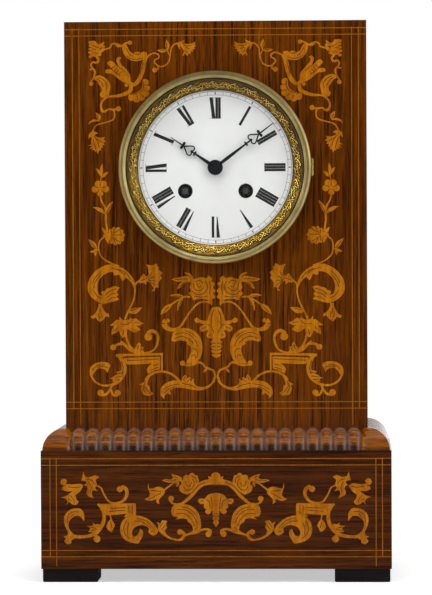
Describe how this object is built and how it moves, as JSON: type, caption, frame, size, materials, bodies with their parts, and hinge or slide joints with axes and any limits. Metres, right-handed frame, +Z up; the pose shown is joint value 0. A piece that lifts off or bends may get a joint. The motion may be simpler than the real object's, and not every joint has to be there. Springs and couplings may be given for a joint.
{
  "type": "mantel clock",
  "caption": "Upright wooden mantel clock with scrolled floral inlay, ribbed moulding, plinth, hinged glazed brass bezel, enamel dial, hands and a spring-driven striking pendulum movement.",
  "frame": {"origin": "on the table under the middle of the case", "axes": "+Z up, +Y to the back, +X to the right as seen from the front"},
  "size_m": [0.231, 0.13, 0.37],
  "materials": {
    "rosewood": "French-polished rosewood veneer with boxwood inlay",
    "moulding_wood": "French-polished carved rosewood",
    "carcase_wood": "plain oak, unpolished",
    "ebonised_wood": "black stained, satin",
    "bezel_brass": "polished, slightly toned",
    "gilt_brass": "gilt, cast ornament",
    "glass": "clear flat glass",
    "enamel": "white enamel with black numerals",
    "blackened_steel": "blued almost to black",
    "movement_brass": "brushed",
    "movement_steel": "ground",
    "bell_metal": "turned bell metal"
  },
  "bodies": {
    "case": {"front_panel": "rosewood", "left_side": "rosewood", "right_side": "rosewood", "top_panel": "rosewood", "back_panel": "carcase_wood", "base_front": "rosewood", "base_left": "rosewood", "base_right": "rosewood", "base_back": "carcase_wood", "base_top": "carcase_wood", "base_bottom": "carcase_wood", "moulding_front": "moulding_wood", "side_mouldings": "moulding_wood", "feet": "ebonised_wood", "bezel_flange": "bezel_brass", "dial_plate": "movement_brass", "enamel_dial": "enamel", "hinge_pins": "bezel_brass", "front_plate": "movement_brass", "back_plate": "movement_brass", "pillars": "movement_brass", "dial_feet": "movement_brass", "movement_straps": "movement_brass", "strap_screws": "movement_steel", "bell": "bell_metal", "bell_post": "movement_brass", "back_cock": "movement_brass", "rear_ring": "bezel_brass"},
    "bezel": {"bezel_rim": "bezel_brass", "bezel_glass": "glass", "sight_ring": "gilt_brass"},
    "rear_door": {"rear_door": "bezel_brass"},
    "minute_hand": {"minute_hand": "blackened_steel", "cannon_pinion": "movement_brass"},
    "minute_wheel": {"minute_wheel": "movement_brass"},
    "hour_hand": {"hour_hand": "blackened_steel", "hour_wheel": "movement_brass"},
    "centre_wheel": {"centre_wheel": "movement_brass", "hand_collet": "blackened_steel"},
    "third_wheel": {"third_wheel": "movement_brass"},
    "escape_wheel": {"escape_wheel": "movement_brass"},
    "intermediate_wheel": {"intermediate_wheel": "movement_brass"},
    "time_barrel": {"time_barrel": "movement_brass", "time_mainspring": "movement_steel"},
    "time_winding_arbor": {"time_winding_arbor": "movement_steel"},
    "time_click": {"time_click": "movement_steel"},
    "strike_barrel": {"strike_barrel": "movement_brass", "strike_mainspring": "movement_steel"},
    "strike_winding_arbor": {"strike_winding_arbor": "movement_steel"},
    "strike_click": {"strike_click": "movement_steel"},
    "strike_second_wheel": {"strike_second_wheel": "movement_brass", "count_wheel": "movement_brass"},
    "pin_wheel": {"pin_wheel": "movement_brass"},
    "locking_wheel": {"locking_wheel": "movement_brass"},
    "fly": {"fly": "movement_brass"},
    "hammer": {"hammer": "movement_steel"},
    "anchor": {"anchor": "movement_steel"},
    "pendulum": {"pendulum_rod": "movement_steel", "pendulum_bob": "movement_brass"},
    "rating_nut": {"rating_nut": "movement_brass"}
  },
  "joints": [
    {"name": "bezel_hinge", "type": "hinge", "parent": "case", "child": "bezel", "pos_m": [0.0638, -0.0515, 0.2732], "axis": [0, 0, 1], "range_deg": [0, 100]},
    {"name": "rear_door_hinge", "type": "hinge", "parent": "case", "child": "rear_door", "pos_m": [-0.06322, 0.057, 0.2732], "axis": [0, 0, 1], "range_deg": [0, 110]},
    {"name": "minute_hand_turn", "type": "hinge", "parent": "case", "child": "minute_hand", "pos_m": [0, -0.0524, 0.2732], "axis": [0, 1, 0], "continuous": true},
    {"name": "minute_wheel_turn", "type": "hinge", "parent": "case", "child": "minute_wheel", "pos_m": [0, -0.0367, 0.2828], "axis": [0, 1, 0], "continuous": true},
    {"name": "hour_hand_turn", "type": "hinge", "parent": "case", "child": "hour_hand", "pos_m": [0, -0.0504, 0.2732], "axis": [0, 1, 0], "continuous": true},
    {"name": "third_wheel_turn", "type": "hinge", "parent": "case", "child": "third_wheel", "pos_m": [0.0011, -0.0197, 0.28575], "axis": [0, 1, 0], "continuous": true},
    {"name": "centre_wheel_turn", "type": "hinge", "parent": "case", "child": "centre_wheel", "pos_m": [0, -0.0197, 0.2732], "axis": [0, 1, 0], "continuous": true},
    {"name": "escape_wheel_turn", "type": "hinge", "parent": "case", "child": "escape_wheel", "pos_m": [0, -0.0197, 0.2974], "axis": [0, 1, 0], "continuous": true},
    {"name": "intermediate_wheel_turn", "type": "hinge", "parent": "case", "child": "intermediate_wheel", "pos_m": [0.01287, -0.0197, 0.27656], "axis": [0, 1, 0], "continuous": true},
    {"name": "time_barrel_turn", "type": "hinge", "parent": "case", "child": "time_barrel", "pos_m": [0.02, -0.0197, 0.2577], "axis": [0, 1, 0], "continuous": true},
    {"name": "time_winding_turn", "type": "hinge", "parent": "case", "child": "time_winding_arbor", "pos_m": [0.02, -0.0197, 0.2577], "axis": [0, 1, 0], "continuous": true},
    {"name": "time_click_lift", "type": "hinge", "parent": "case", "child": "time_click", "pos_m": [0.02893, -0.0367, 0.26095], "axis": [0, -1, 0], "range_deg": [0, 14], "stiffness_Nm_per_rad": 0.004, "springref_deg": -5.73},
    {"name": "locking_wheel_turn", "type": "hinge", "parent": "case", "child": "locking_wheel", "pos_m": [-0.01328, -0.0197, 0.29666], "axis": [0, 1, 0], "continuous": true},
    {"name": "pin_wheel_turn", "type": "hinge", "parent": "case", "child": "pin_wheel", "pos_m": [-0.02137, -0.0197, 0.28987], "axis": [0, 1, 0], "continuous": true},
    {"name": "strike_second_wheel_turn", "type": "hinge", "parent": "case", "child": "strike_second_wheel", "pos_m": [-0.027, -0.0197, 0.27927], "axis": [0, 1, 0], "continuous": true},
    {"name": "strike_barrel_turn", "type": "hinge", "parent": "case", "child": "strike_barrel", "pos_m": [-0.02, -0.0197, 0.2577], "axis": [0, 1, 0], "continuous": true},
    {"name": "fly_turn", "type": "hinge", "parent": "case", "child": "fly", "pos_m": [-0.01459, -0.0197, 0.3041], "axis": [0, 1, 0], "continuous": true},
    {"name": "strike_winding_turn", "type": "hinge", "parent": "case", "child": "strike_winding_arbor", "pos_m": [-0.02, -0.0197, 0.2577], "axis": [0, 1, 0], "continuous": true},
    {"name": "strike_click_lift", "type": "hinge", "parent": "case", "child": "strike_click", "pos_m": [-0.02893, -0.0367, 0.26095], "axis": [0, 1, 0], "range_deg": [0, 14], "stiffness_Nm_per_rad": 0.004, "springref_deg": -5.73},
    {"name": "hammer_lift", "type": "hinge", "parent": "case", "child": "hammer", "pos_m": [-0.0335, -0.0197, 0.2932], "axis": [0, 1, 0], "range_deg": [0, 18], "stiffness_Nm_per_rad": 0.02, "springref_deg": -11.46},
    {"name": "pendulum_swing", "type": "hinge", "parent": "case", "child": "pendulum", "pos_m": [0, 0.0074, 0.308], "axis": [0, 1, 0], "range_deg": [-4, 4]},
    {"name": "anchor_rock", "type": "hinge", "parent": "case", "child": "anchor", "pos_m": [0, -0.0197, 0.308], "axis": [0, 1, 0], "range_deg": [-4, 4]},
    {"name": "rating_nut_turn", "type": "hinge", "parent": "pendulum", "child": "rating_nut", "pos_m": [0, 0.0074, 0.166], "axis": [0, 0, 1], "continuous": true}
  ],
  "couplings": [
    {"joint": "minute_wheel_turn", "follows": "minute_hand_turn", "ratio": -0.33333},
    {"joint": "hour_hand_turn", "follows": "minute_hand_turn", "ratio": 0.083333},
    {"joint": "escape_wheel_turn", "follows": "third_wheel_turn", "ratio": -12},
    {"joint": "centre_wheel_turn", "follows": "third_wheel_turn", "ratio": -0.09375},
    {"joint": "intermediate_wheel_turn", "follows": "third_wheel_turn", "ratio": 0.015625},
    {"joint": "time_barrel_turn", "follows": "third_wheel_turn", "ratio": -0.0026042},
    {"joint": "pin_wheel_turn", "follows": "locking_wheel_turn", "ratio": -0.1},
    {"joint": "strike_second_wheel_turn", "follows": "locking_wheel_turn", "ratio": 0.011111},
    {"joint": "strike_barrel_turn", "follows": "locking_wheel_turn", "ratio": -0.0034722},
    {"joint": "fly_turn", "follows": "locking_wheel_turn", "ratio": -8},
    {"joint": "anchor_rock", "follows": "pendulum_swing", "ratio": 1}
  ]
}
